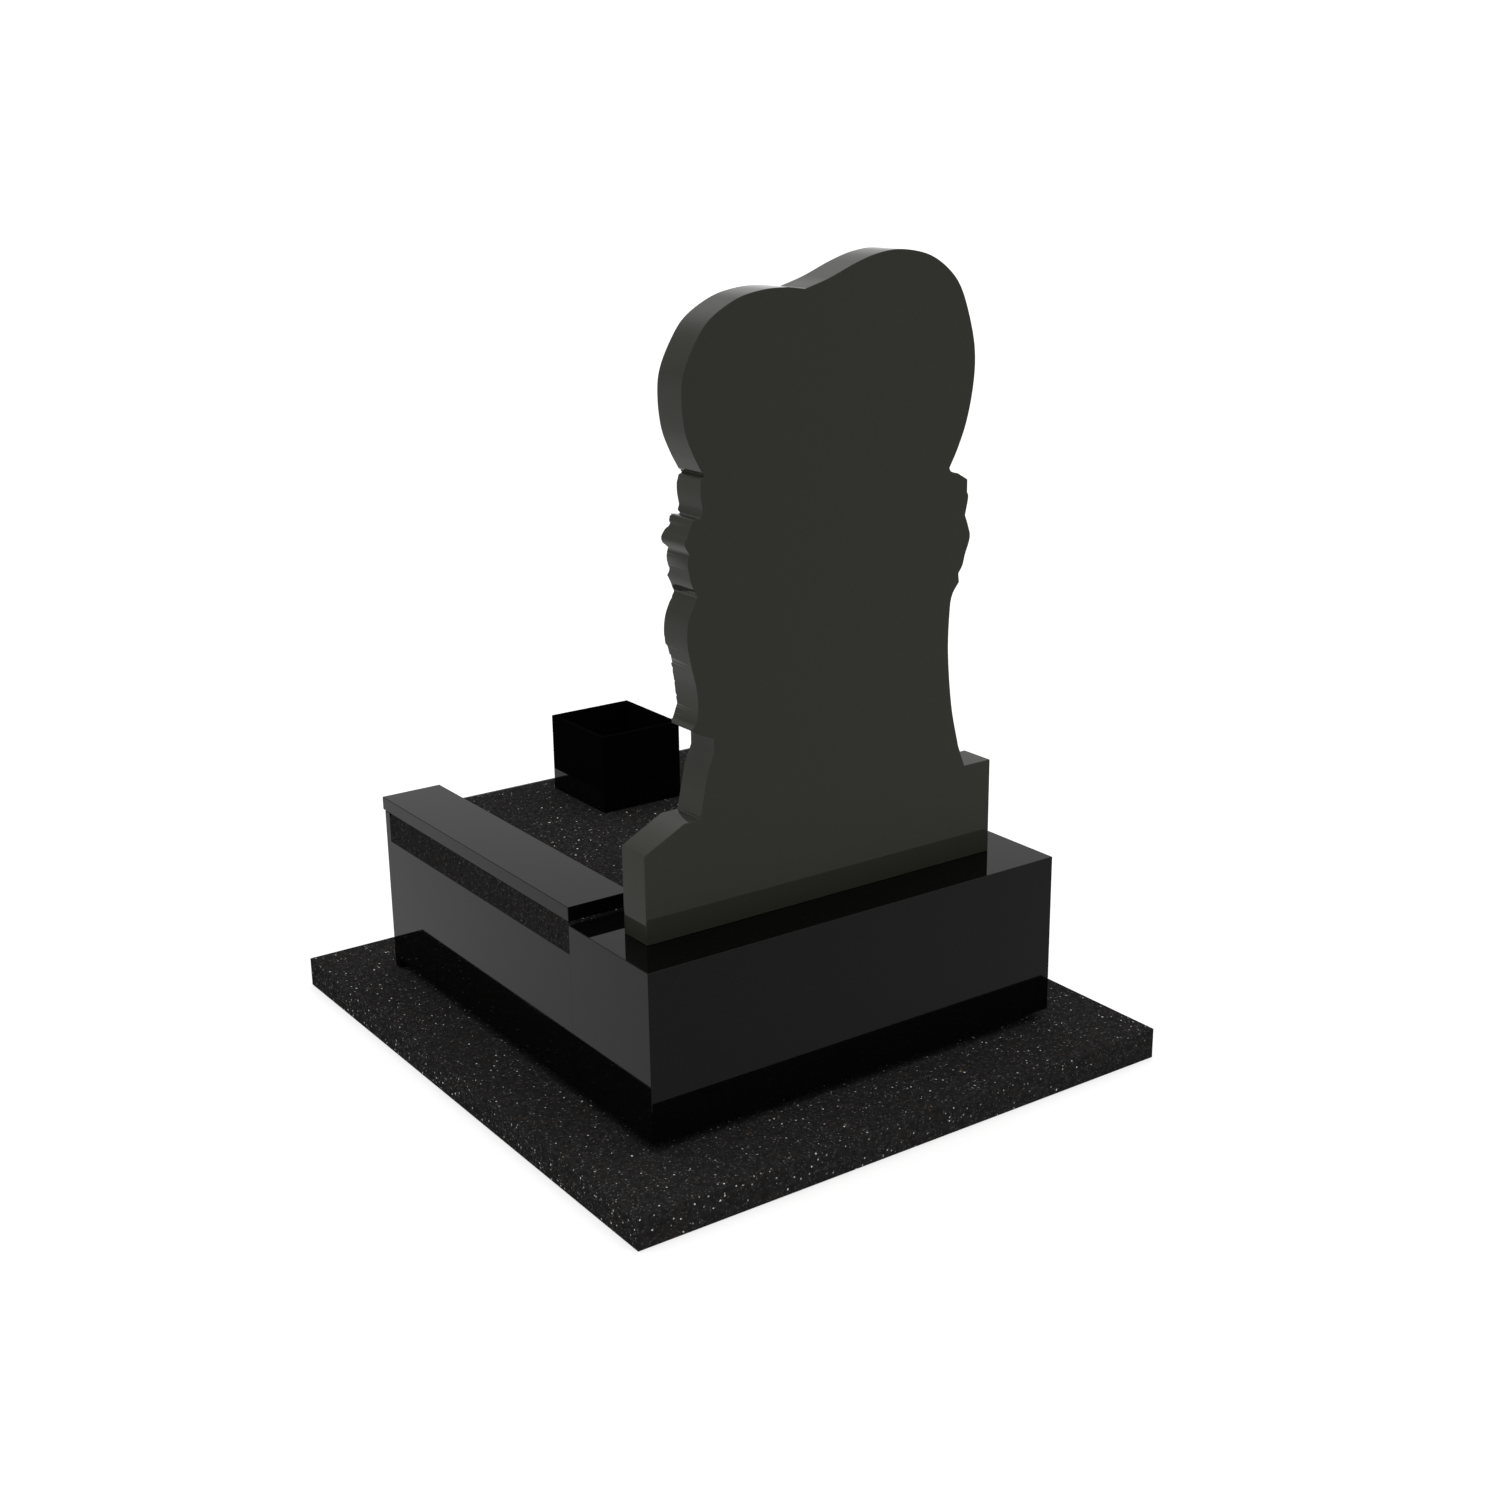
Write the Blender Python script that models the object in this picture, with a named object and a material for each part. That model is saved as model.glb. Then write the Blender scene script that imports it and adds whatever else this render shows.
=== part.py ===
"""Heart headstone: a carved heart slab on a low granite grave surround.

Metres, +Z up. The origin is the middle of the ground slab's underside. The front
faces -Y, so the smooth back of the headstone faces +Y and "right" is +X, as seen
by somebody who stands in front of the stone.
"""

import math

import bmesh
import bpy
from mathutils import Vector

# Ground slab, the speckled plate that everything stands on.
GROUND_WIDTH = 1.160
GROUND_DEPTH = 1.285
GROUND_THICKNESS = 0.060

# The body: plinth behind, two kerbs at the sides and a thin plate in front.
BODY_WIDTH = 0.900
REAR_MARGIN = 0.156
PLINTH_DEPTH = 0.256
PLINTH_HEIGHT = 0.312
KERB_LENGTH = 0.713
KERB_THICKNESS = 0.080
KERB_HEIGHT = 0.258
FRONT_PLATE_THICKNESS = 0.020
FRONT_PLATE_DIP = 0.009

# The outer edge of plinth and kerbs is cut back below, so that the body seems to float.
SHADOW_GAP_HEIGHT = 0.020
SHADOW_GAP_DEPTH = 0.035

# Cover slab on the kerbs, and the polished strips along its two long edges. The slab's
# front edge is chamfered, and between the strips the plate in front of it dips lower, so
# that rain runs off.
COVER_THICKNESS = 0.060
COVER_FRONT_CHAMFER = 0.009
CAP_WIDTH = 0.128
CAP_THICKNESS = 0.027
CAP_FRONT_OVERHANG = 0.0085

# Headstone: one slab, with a wide pedestal below and the heart on top.
HEADSTONE_THICKNESS = 0.072
HEADSTONE_HEIGHT = 1.119
HEADSTONE_SETBACK = 0.097
PEDESTAL_RIGHT = 0.390
PEDESTAL_LEFT = 0.374
PEDESTAL_HEIGHT = 0.182
SHOULDER_OUTER_HEIGHT = 0.161
SHOULDER_HEIGHT = 0.202
SHOULDER_SLOPE_RUN = 0.081

# The carved lines on the front of the headstone are V grooves, thinner at their ends.
GROOVE_WIDTH = 0.008
GROOVE_DEPTH = 0.006
GROOVE_CLEARANCE = 0.001
GROOVE_END_SHARE = 0.25

# Planter: a polished foot block and an open box with the same outline.
PLANTER_WIDTH = 0.182
PLANTER_DEPTH = 0.200
PLANTER_FOOT_HEIGHT = 0.044
PLANTER_BOX_HEIGHT = 0.114
PLANTER_WALL = 0.012
PLANTER_FLOOR = 0.012
PLANTER_CENTRE_X = 0.014
PLANTER_FRONT_MARGIN = 0.065

# Clearance between two stones that touch, and the small chamfer on every free arris.
JOINT = 0.0003
ARRIS = 0.001
ARRIS_ANGLE = math.radians(40)
MATCH = 1e-6

# Colour and roughness of the three finishes.
SPECKLED_GRANITE = ((0.028, 0.026, 0.027), 0.25)
BLACK_GRANITE = ((0.016, 0.016, 0.015), 0.06)
PLANTER_BLACK = ((0.004, 0.004, 0.004), 0.5)

# Heights and depths that follow from the sizes above.
BED_Z = GROUND_THICKNESS + JOINT
BODY_Z = GROUND_THICKNESS + SHADOW_GAP_HEIGHT
PLINTH_TOP_Z = BODY_Z + PLINTH_HEIGHT
KERB_TOP_Z = BODY_Z + KERB_HEIGHT
COVER_Z = KERB_TOP_Z + JOINT
COVER_TOP_Z = COVER_Z + COVER_THICKNESS
CAP_Z = COVER_TOP_Z + JOINT
REAR_Y = GROUND_DEPTH / 2 - REAR_MARGIN
PLINTH_FRONT_Y = REAR_Y - PLINTH_DEPTH
KERB_REAR_Y = PLINTH_FRONT_Y - JOINT
KERB_FRONT_Y = KERB_REAR_Y - KERB_LENGTH
PLATE_REAR_Y = KERB_FRONT_Y - JOINT
PLATE_FRONT_Y = PLATE_REAR_Y - FRONT_PLATE_THICKNESS
BODY_SIDE_X = BODY_WIDTH / 2
STONE_BACK_Y = REAR_Y - HEADSTONE_SETBACK
STONE_FRONT_Y = STONE_BACK_Y - HEADSTONE_THICKNESS
FIGURE_HEIGHT = HEADSTONE_HEIGHT - PEDESTAL_HEIGHT

# The free outline above the pedestal, in thousandths of the figure's height, as
# (across, up) from the middle of the pedestal's top. Each run is a smooth curve
# through its points, and a sharp corner is where one run ends and the next begins.
RIGHT_SIDE = [
    [(277, 105), (262, 141)],
    [(262, 141), (262, 169)],
    [(262, 169), (288, 179), (310, 192)],
    [(310, 192), (299, 204), (294, 229), (297, 267), (307, 310), (314, 352), (310, 390), (291, 430)],
    [(291, 430), (303, 456), (308, 478)],
    [(308, 478), (310, 492), (306, 508)],
    [(306, 508), (315, 527), (308, 541)],
    [(308, 541), (303, 553), (296, 568)],
    [(296, 568), (281, 569)],
    [(281, 569), (276, 582)],
    [(276, 582), (279, 608), (275, 644)],
]
HEART = [
    [(275, 644), (293, 678), (309, 719), (315, 771), (310, 817), (286, 866), (255, 904), (201, 934),
     (149, 946), (99, 948), (55, 943)],
    [(55, 943), (4, 958), (-58, 982), (-108, 996), (-160, 1000), (-223, 988), (-272, 959), (-304, 920),
     (-329, 851), (-338, 797), (-334, 740), (-320, 680), (-300, 632), (-280, 596)],
]
LEFT_SIDE = [
    [(-280, 596), (-285, 589), (-301, 584)],
    [(-301, 584), (-325, 570)],
    [(-325, 570), (-325, 546)],
    [(-325, 546), (-328, 535), (-321, 502)],
    [(-321, 502), (-329, 481), (-334, 458), (-322, 424)],
    [(-322, 424), (-317, 406), (-307, 391)],
    [(-307, 391), (-309, 374)],
    [(-309, 374), (-293, 352), (-287, 320), (-285, 237), (-296, 129), (-315, 45)],
]
RIGHT_FOOT_ACROSS = 295
LEFT_FOOT_ACROSS = -332
RUN_STEPS = 4

# The carved lines of the front, in the same shares: the heart's lower point, and a leaf.
HEART_POINT_LINE = [(262, 628), (232, 588), (182, 520), (110, 432), (21, 330), (-93, 412), (-186, 495),
                    (-243, 550), (-266, 580)]
LEAF_LINES = [
    [(296, 202), (268, 260), (262, 330), (272, 408)],
    [(246, 178), (232, 250), (234, 330), (258, 412)],
]

# The rose heads of the front: centre and size, in the same shares. The heart of a rose
# winds outwards between two radii, given as shares of its size. The petals lap round it,
# each wound over a share of a turn and out to the whole size.
ROSES = [((244, 490), 54), ((-264, 482), 58)]
ROSE_TURN_POINTS = 16
ROSE_HEART_RADII = (0.16, 0.5)
ROSE_HEART_TURN = 0.95
ROSE_PETALS = 3
ROSE_PETAL_RADIUS = 0.74
ROSE_PETAL_TURN = 0.36
ROSE_FIRST_PETAL = 0.1


def material(name, finish):
    """Makes a plain stone finish."""
    colour, roughness = finish
    stone = bpy.data.materials.new(name)
    stone.use_nodes = True
    shader = stone.node_tree.nodes["Principled BSDF"]
    shader.inputs["Base Color"].default_value = (*colour, 1.0)
    shader.inputs["Roughness"].default_value = roughness
    shader.inputs["Metallic"].default_value = 0.0
    return stone


def add_object(name, mesh_builder, finish, joints=()):
    """Turns a bmesh into a named object with its own finish and a small arris chamfer.

    joints lists the (axis, place) of the faces that are butted against another stone.
    Their edges stay sharp, as a mason leaves them, so that the joint closes.
    """
    bmesh.ops.recalc_face_normals(mesh_builder, faces=mesh_builder.faces)
    weight = mesh_builder.edges.layers.float.new("bevel_weight_edge")
    for edge in mesh_builder.edges:
        butted = any(all(abs(v.co[axis] - place) < MATCH for v in edge.verts) for axis, place in joints)
        free = edge.calc_face_angle() > ARRIS_ANGLE and not butted
        edge[weight] = 1.0 if free else 0.0
    mesh = bpy.data.meshes.new(name)
    mesh_builder.to_mesh(mesh)
    mesh_builder.free()
    mesh.materials.append(material(name + "_finish", finish))
    piece = bpy.data.objects.new(name, mesh)
    bpy.context.scene.collection.objects.link(piece)
    chamfer = piece.modifiers.new("arris", "BEVEL")
    chamfer.width = ARRIS
    chamfer.segments = 1
    chamfer.limit_method = "WEIGHT"
    return piece


def block(low, high):
    """Returns a bmesh box between two corners."""
    mesh_builder = bmesh.new()
    bmesh.ops.create_cube(mesh_builder, size=1.0)
    for vertex in mesh_builder.verts:
        for axis in range(3):
            vertex.co[axis] = high[axis] if vertex.co[axis] > 0 else low[axis]
    return mesh_builder


def prism(outline, low, high, axis):
    """Extrudes a closed outline, given as corner points, along one axis."""
    mesh_builder = bmesh.new()
    ring = [mesh_builder.verts.new(point) for point in outline]
    face = mesh_builder.faces.new(ring)
    for vertex in ring:
        vertex.co[axis] = low
    move = Vector((0.0, 0.0, 0.0))
    move[axis] = high - low
    lid = bmesh.ops.extrude_face_region(mesh_builder, geom=[face])
    moved = [item for item in lid["geom"] if isinstance(item, bmesh.types.BMVert)]
    bmesh.ops.translate(mesh_builder, verts=moved, vec=move)
    return mesh_builder


def speckled_piece(name, mesh_builder):
    """Adds a piece of the dark speckled granite."""
    return add_object(name, mesh_builder, SPECKLED_GRANITE)


def polished_piece(name, mesh_builder, joints=()):
    """Adds a piece of the plain black granite."""
    return add_object(name, mesh_builder, BLACK_GRANITE, joints)


def make_plinth():
    """The block behind, cut back below along its rear and its two ends."""
    foot_x = BODY_SIDE_X - SHADOW_GAP_DEPTH
    foot_rear_y = REAR_Y - SHADOW_GAP_DEPTH
    mesh_builder = block((-BODY_SIDE_X, PLINTH_FRONT_Y, BODY_Z), (BODY_SIDE_X, REAR_Y, PLINTH_TOP_Z))
    cuts = [((foot_x, 0, 0), (1, 0, 0)), ((-foot_x, 0, 0), (1, 0, 0)), ((0, foot_rear_y, 0), (0, 1, 0))]
    for place, normal in cuts:
        everything = mesh_builder.verts[:] + mesh_builder.edges[:] + mesh_builder.faces[:]
        bmesh.ops.bisect_plane(mesh_builder, geom=everything, dist=MATCH, plane_co=place, plane_no=normal)
    foot = [
        face
        for face in mesh_builder.faces
        if face.normal.z < -0.5
        and abs(face.calc_center_median().x) < foot_x
        and face.calc_center_median().y < foot_rear_y
    ]
    grown = bmesh.ops.extrude_face_region(mesh_builder, geom=foot)
    moved = [item for item in grown["geom"] if isinstance(item, bmesh.types.BMVert)]
    bmesh.ops.translate(mesh_builder, verts=moved, vec=(0, 0, BED_Z - BODY_Z))
    bmesh.ops.delete(mesh_builder, geom=foot, context="FACES")
    return polished_piece("rear_plinth", mesh_builder, joints=((1, PLINTH_FRONT_Y),))


def make_kerb(name, side):
    """One side kerb: side is +1 on the right and -1 on the left."""
    outer = side * BODY_SIDE_X
    inner = side * (BODY_SIDE_X - KERB_THICKNESS)
    foot = side * (BODY_SIDE_X - SHADOW_GAP_DEPTH)
    outline = [
        (inner, 0, BED_Z),
        (foot, 0, BED_Z),
        (foot, 0, BODY_Z),
        (outer, 0, BODY_Z),
        (outer, 0, KERB_TOP_Z),
        (inner, 0, KERB_TOP_Z),
    ]
    kerb = prism(outline, KERB_FRONT_Y, KERB_REAR_Y, axis=1)
    return polished_piece(name, kerb, joints=((1, KERB_FRONT_Y), (1, KERB_REAR_Y)))


def make_cap(name, side):
    """One polished strip on the long edge of the cover slab."""
    near = side * BODY_SIDE_X
    far = side * (BODY_SIDE_X - CAP_WIDTH)
    low = (min(near, far), PLATE_FRONT_Y - CAP_FRONT_OVERHANG, CAP_Z)
    high = (max(near, far), KERB_REAR_Y, CAP_Z + CAP_THICKNESS)
    return polished_piece(name, block(low, high))


def smooth_run(points, steps):
    """Returns points along a smooth curve through the given ones, without the last."""
    if len(points) == 2:
        return [points[0]]
    ends = [2 * points[0] - points[1]] + points + [2 * points[-1] - points[-2]]
    curve = []
    for before, start, stop, after in zip(ends, ends[1:], ends[2:], ends[3:]):
        for step in range(steps):
            t = step / steps
            curve.append(
                0.5
                * (
                    2 * start
                    + (stop - before) * t
                    + (2 * before - 5 * start + 4 * stop - after) * t**2
                    + (3 * start - before - 3 * stop + after) * t**3
                )
            )
    return curve


def figure_point(share):
    """Turns an (across, up) share of the figure into its place on the stone's face."""
    across, up = share
    return Vector(
        (across * FIGURE_HEIGHT / 1000, 0, PLINTH_TOP_Z + PEDESTAL_HEIGHT + up * FIGURE_HEIGHT / 1000)
    )


def headstone_outline():
    """The whole outline, from the pedestal's right foot round over the heart to its left."""
    base_z = PLINTH_TOP_Z + JOINT
    shoulder_z = PLINTH_TOP_Z + SHOULDER_HEIGHT
    right_foot_x = RIGHT_FOOT_ACROSS * FIGURE_HEIGHT / 1000
    left_foot_x = LEFT_FOOT_ACROSS * FIGURE_HEIGHT / 1000
    outline = [
        Vector((PEDESTAL_RIGHT, 0, base_z)),
        Vector((PEDESTAL_RIGHT, 0, PLINTH_TOP_Z + SHOULDER_OUTER_HEIGHT)),
        Vector((PEDESTAL_RIGHT - SHOULDER_SLOPE_RUN, 0, shoulder_z)),
        Vector((right_foot_x, 0, shoulder_z)),
    ]
    for run in RIGHT_SIDE + HEART + LEFT_SIDE:
        outline += smooth_run([figure_point(share) for share in run], RUN_STEPS)
    outline += [
        figure_point(LEFT_SIDE[-1][-1]),
        Vector((left_foot_x, 0, PLINTH_TOP_Z + PEDESTAL_HEIGHT)),
        Vector((-PEDESTAL_LEFT, 0, PLINTH_TOP_Z + PEDESTAL_HEIGHT)),
        Vector((-PEDESTAL_LEFT, 0, base_z)),
    ]
    return outline


def winding_line(centre, first_radius, last_radius, first_turn, last_turn):
    """An (across, up) line that winds outwards round a centre, with its turns as shares."""
    count = round((last_turn - first_turn) * ROSE_TURN_POINTS)
    line = []
    for step in range(count + 1):
        share = step / count
        radius = first_radius + (last_radius - first_radius) * share
        angle = 2 * math.pi * (first_turn + (last_turn - first_turn) * share)
        line.append((centre[0] + radius * math.cos(angle), centre[1] + radius * math.sin(angle)))
    return line


def rose_lines(centre, size):
    """A rose head: a wound heart, and the petals that lap round it."""
    first, last = ROSE_HEART_RADII
    lines = [winding_line(centre, first * size, last * size, 0.0, ROSE_HEART_TURN)]
    for petal in range(ROSE_PETALS):
        start = petal / ROSE_PETALS + ROSE_FIRST_PETAL
        lines.append(winding_line(centre, ROSE_PETAL_RADIUS * size, size, start, start + ROSE_PETAL_TURN))
    return lines


def carved_lines():
    """Every carved line of the front, as points on the stone's face."""
    lines = []
    for run in [HEART_POINT_LINE] + LEAF_LINES:
        points = [figure_point(share) for share in run]
        lines.append(smooth_run(points, RUN_STEPS) + points[-1:])
    for centre, size in ROSES:
        lines += [[figure_point(share) for share in line] for line in rose_lines(centre, size)]
    return lines


def cut_groove(mesh_builder, line):
    """Adds the wedge that cuts one V groove along a line on the stone's front."""
    rings = []
    half_width = GROOVE_WIDTH / 2 * (1 + GROOVE_CLEARANCE / GROOVE_DEPTH)
    for index, point in enumerate(line):
        before = line[max(index - 1, 0)]
        after = line[min(index + 1, len(line) - 1)]
        across = (after - before).cross(Vector((0, 1, 0))).normalized()
        size = GROOVE_END_SHARE if index in (0, len(line) - 1) else 1.0
        surface = Vector((point.x, STONE_FRONT_Y - GROOVE_CLEARANCE, point.z))
        bottom = Vector((point.x, STONE_FRONT_Y + GROOVE_DEPTH * size, point.z))
        places = (surface + across * half_width * size, surface - across * half_width * size, bottom)
        rings.append([mesh_builder.verts.new(place) for place in places])
    for ring, following in zip(rings, rings[1:]):
        for corner in range(3):
            beside = (corner + 1) % 3
            mesh_builder.faces.new((ring[corner], ring[beside], following[beside], following[corner]))
    mesh_builder.faces.new(rings[0])
    mesh_builder.faces.new(rings[-1])


def make_headstone():
    """The heart slab, smooth behind, with its carved lines cut into the front."""
    stone = polished_piece("headstone", prism(headstone_outline(), STONE_FRONT_Y, STONE_BACK_Y, axis=1))
    wedges = bmesh.new()
    for line in carved_lines():
        cut_groove(wedges, line)
    bmesh.ops.recalc_face_normals(wedges, faces=wedges.faces)
    cutter_mesh = bpy.data.meshes.new("carving_tool")
    wedges.to_mesh(cutter_mesh)
    wedges.free()
    cutter = bpy.data.objects.new("carving_tool", cutter_mesh)
    bpy.context.scene.collection.objects.link(cutter)
    cutter.hide_render = True
    cutter.display_type = "WIRE"
    carving = stone.modifiers.new("carving", "BOOLEAN")
    carving.operation = "DIFFERENCE"
    carving.object = cutter
    carving.solver = "EXACT"
    carving.use_self = True
    return stone


def make_cover():
    """The speckled slab on the kerbs, with its long front edge chamfered."""
    low = (-BODY_SIDE_X, KERB_FRONT_Y, COVER_Z)
    high = (BODY_SIDE_X, KERB_REAR_Y, COVER_TOP_Z)
    mesh_builder = block(low, high)
    front_edge = [
        edge
        for edge in mesh_builder.edges
        if all(abs(v.co.y - low[1]) < MATCH and abs(v.co.z - high[2]) < MATCH for v in edge.verts)
    ]
    bmesh.ops.bevel(
        mesh_builder, geom=front_edge, offset=COVER_FRONT_CHAMFER, segments=1, profile=0.5, affect="EDGES"
    )
    return speckled_piece("cover_slab", mesh_builder)


def make_front_plate():
    """The thin plate in front, whose top dips between the two strips."""
    strip_inner_x = BODY_SIDE_X - CAP_WIDTH
    dip_z = COVER_TOP_Z - FRONT_PLATE_DIP
    outline = [
        (-BODY_SIDE_X, 0, BED_Z),
        (BODY_SIDE_X, 0, BED_Z),
        (BODY_SIDE_X, 0, COVER_TOP_Z),
        (strip_inner_x, 0, COVER_TOP_Z),
        (strip_inner_x, 0, dip_z),
        (-strip_inner_x, 0, dip_z),
        (-strip_inner_x, 0, COVER_TOP_Z),
        (-BODY_SIDE_X, 0, COVER_TOP_Z),
    ]
    plate = prism(outline, PLATE_FRONT_Y, PLATE_REAR_Y, axis=1)
    return polished_piece("front_plate", plate, joints=((1, PLATE_REAR_Y),))


def make_planter_foot():
    """The solid block under the planter."""
    low_x = PLANTER_CENTRE_X - PLANTER_WIDTH / 2
    low_y = KERB_FRONT_Y + PLANTER_FRONT_MARGIN
    top_z = COVER_TOP_Z + JOINT + PLANTER_FOOT_HEIGHT
    low = (low_x, low_y, COVER_TOP_Z + JOINT)
    high = (low_x + PLANTER_WIDTH, low_y + PLANTER_DEPTH, top_z)
    return polished_piece("planter_foot", block(low, high), joints=((2, top_z),))


def make_planter():
    """The open box: the top face is inset by the wall and sunk down to the floor."""
    low_x = PLANTER_CENTRE_X - PLANTER_WIDTH / 2
    low_y = KERB_FRONT_Y + PLANTER_FRONT_MARGIN
    low_z = COVER_TOP_Z + 2 * JOINT + PLANTER_FOOT_HEIGHT
    high_z = low_z + PLANTER_BOX_HEIGHT
    mesh_builder = block((low_x, low_y, low_z), (low_x + PLANTER_WIDTH, low_y + PLANTER_DEPTH, high_z))
    top = [face for face in mesh_builder.faces if face.normal.z > 0.5]
    bmesh.ops.inset_region(mesh_builder, faces=top, thickness=PLANTER_WALL)
    grown = bmesh.ops.extrude_face_region(mesh_builder, geom=top)
    moved = [item for item in grown["geom"] if isinstance(item, bmesh.types.BMVert)]
    bmesh.ops.translate(mesh_builder, verts=moved, vec=(0, 0, PLANTER_FLOOR - PLANTER_BOX_HEIGHT))
    bmesh.ops.delete(mesh_builder, geom=top, context="FACES")
    return add_object("planter", mesh_builder, PLANTER_BLACK, joints=((2, low_z),))


def main():
    for old in list(bpy.data.objects):
        bpy.data.objects.remove(old)
    half_width = GROUND_WIDTH / 2
    half_depth = GROUND_DEPTH / 2
    ground = block((-half_width, -half_depth, 0), (half_width, half_depth, GROUND_THICKNESS))
    speckled_piece("ground_slab", ground)
    make_plinth()
    make_kerb("right_kerb", 1)
    make_kerb("left_kerb", -1)
    make_front_plate()
    make_cover()
    make_cap("right_cap", 1)
    make_cap("left_cap", -1)
    make_headstone()
    make_planter_foot()
    make_planter()


main()
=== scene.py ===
# %% [markdown]
# # A heart headstone in polished and speckled granite
#
# This lesson dresses a solid model of a grave monument. The solids already have the right
# places and sizes, so the work here is the stone's finish, the light, the camera, and one
# piece that deserves more shape than a plain solid: the carved heart slab.
#
# First the solid model is loaded. Its box is kept, so that what is made here stays
# inside it.

# %% Load the solid model
import math

import bpy
import numpy as np
from mathutils import Matrix, Vector


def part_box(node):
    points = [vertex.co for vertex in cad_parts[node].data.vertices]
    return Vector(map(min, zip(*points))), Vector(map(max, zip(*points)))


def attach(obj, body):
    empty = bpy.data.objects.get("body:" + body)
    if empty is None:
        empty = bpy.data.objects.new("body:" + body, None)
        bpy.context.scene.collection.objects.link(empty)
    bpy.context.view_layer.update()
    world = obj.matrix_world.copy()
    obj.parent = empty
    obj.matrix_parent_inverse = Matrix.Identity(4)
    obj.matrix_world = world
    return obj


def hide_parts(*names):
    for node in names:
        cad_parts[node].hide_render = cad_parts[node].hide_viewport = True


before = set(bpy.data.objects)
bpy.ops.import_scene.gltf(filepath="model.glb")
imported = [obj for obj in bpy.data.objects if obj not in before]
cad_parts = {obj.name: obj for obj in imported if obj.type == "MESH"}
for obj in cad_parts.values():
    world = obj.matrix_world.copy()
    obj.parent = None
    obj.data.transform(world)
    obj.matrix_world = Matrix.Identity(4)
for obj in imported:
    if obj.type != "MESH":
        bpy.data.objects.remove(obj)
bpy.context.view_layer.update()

print("solids:", ", ".join(sorted(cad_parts)))

# %% [markdown]
# ## The camera
#
# A photograph is matched by its vanishing points: the long edges of the slabs give the
# direction of view, and the known square of the ground slab gives the distance. Here the
# place and the turn of the camera are known numbers, so it is simplest to write the view
# as three directions (right, up and backwards) and to hand them to Blender as a matrix.

# %% Place the camera
CAMERA_PLACE = Vector((2.0220, 3.0354, 1.7213))
CAMERA_COMPASS = math.radians(214.95)
CAMERA_DOWN = math.radians(17.59)
CAMERA_ROLL = math.radians(-0.75)
SENSOR_WIDTH = 36.0
FOCAL_LENGTH = 47.81

forward = Vector((
    math.cos(CAMERA_DOWN) * math.sin(CAMERA_COMPASS),
    math.cos(CAMERA_DOWN) * math.cos(CAMERA_COMPASS),
    -math.sin(CAMERA_DOWN),
))
level_right = forward.cross(Vector((0, 0, 1))).normalized()
level_up = level_right.cross(forward)
right = math.cos(CAMERA_ROLL) * level_right + math.sin(CAMERA_ROLL) * level_up
up = math.cos(CAMERA_ROLL) * level_up - math.sin(CAMERA_ROLL) * level_right

lens = bpy.data.cameras.new("photo_camera")
lens.sensor_fit = "HORIZONTAL"
lens.sensor_width = SENSOR_WIDTH
lens.lens = FOCAL_LENGTH
camera = bpy.data.objects.new("photo_camera", lens)
bpy.context.scene.collection.objects.link(camera)
turn = Matrix((right, up, -forward)).transposed().to_4x4()
camera.matrix_world = Matrix.Translation(CAMERA_PLACE) @ turn
bpy.context.scene.camera = camera
print("camera at", [round(value, 3) for value in CAMERA_PLACE], "with a", FOCAL_LENGTH, "mm lens")

# %% [markdown]
# ## The studio
#
# Polished black stone has hardly any colour of its own: what the eye sees is the room in
# it. So the room is the first finish. The floor is pale and glows a little by itself, so
# that it stays white close to the stones too. The sky around it is bright at the horizon,
# dimmer a little higher up, and brightest overhead like a big soft lamp. The dim ring is
# what the level tops of the stones mirror.

# %% Lay the floor
FLOOR_WIDTH = 80
FLOOR_DROP = 0.0005
FLOOR_COLOUR = (0.36, 0.36, 0.358, 1)
FLOOR_GLOW = 0.55


def deselect_all():
    """Leaves nothing selected, because an operator acts on all that is."""
    bpy.ops.object.select_all(action="DESELECT")


deselect_all()
bpy.ops.mesh.primitive_plane_add(size=FLOOR_WIDTH, location=(0, 0, -FLOOR_DROP))
floor = bpy.context.object
floor.name = "studio_floor"
floor_paint = bpy.data.materials.new("floor_paint")
floor_paint.use_nodes = True
floor_shader = floor_paint.node_tree.nodes["Principled BSDF"]
floor_shader.inputs["Base Color"].default_value = FLOOR_COLOUR
floor_shader.inputs["Emission Color"].default_value = (1, 1, 1, 1)
floor_shader.inputs["Emission Strength"].default_value = FLOOR_GLOW
floor_shader.inputs["Roughness"].default_value = 0.9
floor_shader.inputs["Specular IOR Level"].default_value = 0.0
floor.data.materials.append(floor_paint)
print("floor", floor.dimensions[0], "m wide")

# %% Light the room
# Each pair is a height (0 is the horizon and all below it, 1 is overhead) and a brightness.
SKY_RING = [(0.00, 1.08), (0.07, 1.03), (0.20, 0.89), (0.44, 0.89), (0.56, 1.45), (0.75, 1.60),
            (0.90, 2.60)]
SKY_STRENGTH = 3.0


def grey(level):
    """A neutral colour."""
    return (level, level, level)


def set_stops(ramp, stops):
    """Gives a colour ramp its stops, which are (place, colour) pairs in rising order."""
    elements = ramp.color_ramp.elements
    while len(elements) < len(stops):
        elements.new(0.5)
    for element, (place, colour) in zip(elements, stops):
        element.position = place
        element.color = (*colour, 1)


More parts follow.
